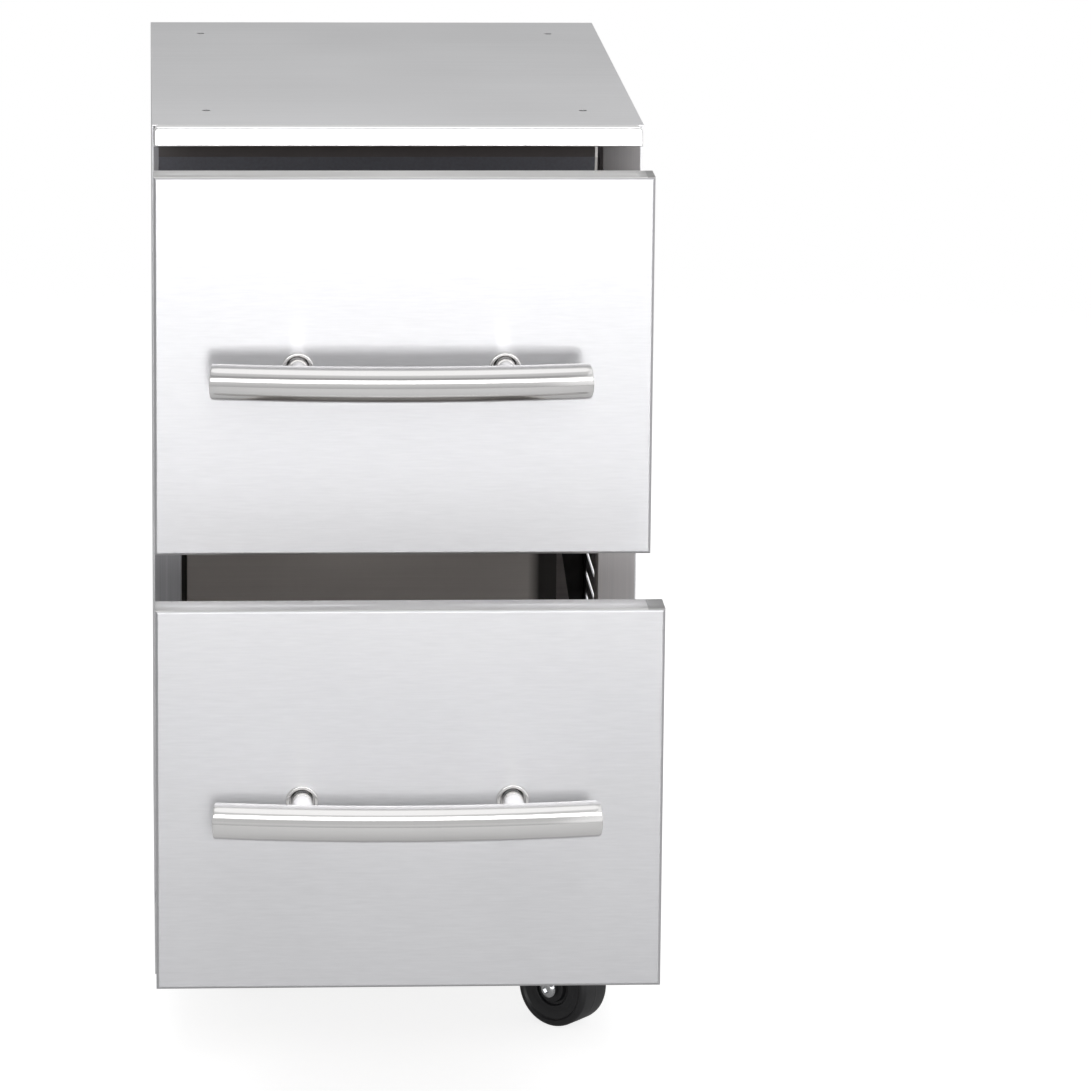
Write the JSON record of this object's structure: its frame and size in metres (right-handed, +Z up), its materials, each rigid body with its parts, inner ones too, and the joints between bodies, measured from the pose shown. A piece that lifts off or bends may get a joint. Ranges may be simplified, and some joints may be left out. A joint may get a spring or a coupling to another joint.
{
  "type": "outdoor kitchen drawer unit",
  "caption": "Stainless outdoor kitchen cabinet on swivel casters with stacked deep drawers on ball slides, bowed bar handles and vented side.",
  "frame": {"origin": "on the floor under the middle of the unit's box, drawers as in the picture", "axes": "+X to the right seen from the front, +Y from the fronts to the back, +Z up"},
  "size_m": [0.3872, 0.9418, 0.751],
  "materials": {
    "brushed_front": "fine horizontal brush",
    "brushed_panel": "fine brush along the sheet",
    "polished_rail": "bright rolled edge",
    "polished_handle": "bright polished with fine turning lines",
    "inner_steel": "dull mill finish",
    "dark_channel": "satin dark grey",
    "slide_zinc": "bright zinc plate",
    "zinc": "zinc plate",
    "rivet_steel": "satin",
    "caster_black": "satin moulded",
    "bumper_rubber": "matte"
  },
  "bodies": {
    "cabinet": {"side_panel_left": "brushed_panel", "side_panel_right": "brushed_panel", "back_panel": "inner_steel", "bottom_panel": "inner_steel", "top_panel": "brushed_panel", "top_rail": "polished_rail", "stile_left": "brushed_panel", "stile_right": "brushed_panel", "cross_channel": "dark_channel", "plinth_front": "brushed_panel", "slide_brackets": "inner_steel", "rear_corner_angles": "inner_steel", "caster_plates": "zinc", "caster_bolts": "zinc", "cabinet_rivets": "rivet_steel", "front_bumpers": "bumper_rubber", "upper_slide_outer_left": "slide_zinc", "upper_slide_outer_right": "slide_zinc", "lower_slide_outer_left": "slide_zinc", "lower_slide_outer_right": "slide_zinc"},
    "upper_drawer": {"upper_front_skin": "brushed_front", "upper_front_liner": "inner_steel", "upper_box_side_right": "inner_steel", "upper_box_side_left": "inner_steel", "upper_box_back": "inner_steel", "upper_box_bottom": "inner_steel", "upper_handle_tube": "polished_handle", "upper_handle_posts": "polished_handle", "upper_handle_rosettes": "polished_handle", "upper_handle_screws": "zinc", "upper_slide_inner_right": "slide_zinc", "upper_slide_inner_left": "slide_zinc"},
    "upper_middle_left": {"upper_slide_middle_left": "slide_zinc"},
    "upper_middle_right": {"upper_slide_middle_right": "slide_zinc"},
    "lower_drawer": {"lower_front_skin": "brushed_front", "lower_front_liner": "inner_steel", "lower_box_side_right": "inner_steel", "lower_box_side_left": "inner_steel", "lower_box_back": "inner_steel", "lower_box_bottom": "inner_steel", "lower_handle_tube": "polished_handle", "lower_handle_posts": "polished_handle", "lower_handle_rosettes": "polished_handle", "lower_handle_screws": "zinc", "lower_slide_inner_right": "slide_zinc", "lower_slide_inner_left": "slide_zinc"},
    "lower_middle_left": {"lower_slide_middle_left": "slide_zinc"},
    "lower_middle_right": {"lower_slide_middle_right": "slide_zinc"},
    "fork_front_right": {"caster_fork_front_right": "zinc", "caster_axle_front_right": "zinc"},
    "wheel_front_right": {"caster_wheel_front_right": "caster_black"},
    "fork_front_left": {"caster_fork_front_left": "zinc", "caster_axle_front_left": "zinc"},
    "wheel_front_left": {"caster_wheel_front_left": "caster_black"},
    "fork_rear_right": {"caster_fork_rear_right": "zinc", "caster_axle_rear_right": "zinc"},
    "wheel_rear_right": {"caster_wheel_rear_right": "caster_black"},
    "fork_rear_left": {"caster_fork_rear_left": "zinc", "caster_axle_rear_left": "zinc"},
    "wheel_rear_left": {"caster_wheel_rear_left": "caster_black"}
  },
  "joints": [
    {"name": "upper_drawer_slide", "type": "slide", "parent": "cabinet", "child": "upper_drawer", "axis": [0, -1, 0], "range_m": [-0.112, 0.338]},
    {"name": "upper_middle_slide_left", "type": "slide", "parent": "cabinet", "child": "upper_middle_left", "axis": [0, -1, 0], "range_m": [-0.056, 0.169]},
    {"name": "upper_middle_slide_right", "type": "slide", "parent": "cabinet", "child": "upper_middle_right", "axis": [0, -1, 0], "range_m": [-0.056, 0.169]},
    {"name": "lower_drawer_slide", "type": "slide", "parent": "cabinet", "child": "lower_drawer", "axis": [0, -1, 0], "range_m": [-0.258, 0.192]},
    {"name": "lower_middle_slide_left", "type": "slide", "parent": "cabinet", "child": "lower_middle_left", "axis": [0, -1, 0], "range_m": [-0.129, 0.096]},
    {"name": "lower_middle_slide_right", "type": "slide", "parent": "cabinet", "child": "lower_middle_right", "axis": [0, -1, 0], "range_m": [-0.129, 0.096]},
    {"name": "swivel_front_right", "type": "hinge", "parent": "cabinet", "child": "fork_front_right", "pos_m": [0.1213, -0.0451, 0.072], "axis": [0, 0, 1], "continuous": true},
    {"name": "roll_front_right", "type": "hinge", "parent": "fork_front_right", "child": "wheel_front_right", "pos_m": [0.14021, -0.05988, 0.033], "axis": [0.6157, 0.788, 0], "continuous": true},
    {"name": "swivel_front_left", "type": "hinge", "parent": "cabinet", "child": "fork_front_left", "pos_m": [-0.12, 0.0429, 0.072], "axis": [0, 0, 1], "continuous": true},
    {"name": "roll_front_left", "type": "hinge", "parent": "fork_front_left", "child": "wheel_front_left", "pos_m": [-0.12, 0.0669, 0.033], "axis": [-1, 0, 0], "continuous": true},
    {"name": "swivel_rear_right", "type": "hinge", "parent": "cabinet", "child": "fork_rear_right", "pos_m": [0.12, 0.3959, 0.072], "axis": [0, 0, 1], "continuous": true},
    {"name": "roll_rear_right", "type": "hinge", "parent": "fork_rear_right", "child": "wheel_rear_right", "pos_m": [0.12, 0.4199, 0.033], "axis": [-1, 0, 0], "continuous": true},
    {"name": "swivel_rear_left", "type": "hinge", "parent": "cabinet", "child": "fork_rear_left", "pos_m": [-0.12, 0.3959, 0.072], "axis": [0, 0, 1], "continuous": true},
    {"name": "roll_rear_left", "type": "hinge", "parent": "fork_rear_left", "child": "wheel_rear_left", "pos_m": [-0.12, 0.4199, 0.033], "axis": [-1, 0, 0], "continuous": true}
  ],
  "couplings": [
    {"joint": "upper_middle_slide_left", "follows": "upper_drawer_slide", "ratio": 0.5},
    {"joint": "upper_middle_slide_right", "follows": "upper_drawer_slide", "ratio": 0.5},
    {"joint": "lower_middle_slide_left", "follows": "lower_drawer_slide", "ratio": 0.5},
    {"joint": "lower_middle_slide_right", "follows": "lower_drawer_slide", "ratio": 0.5}
  ]
}
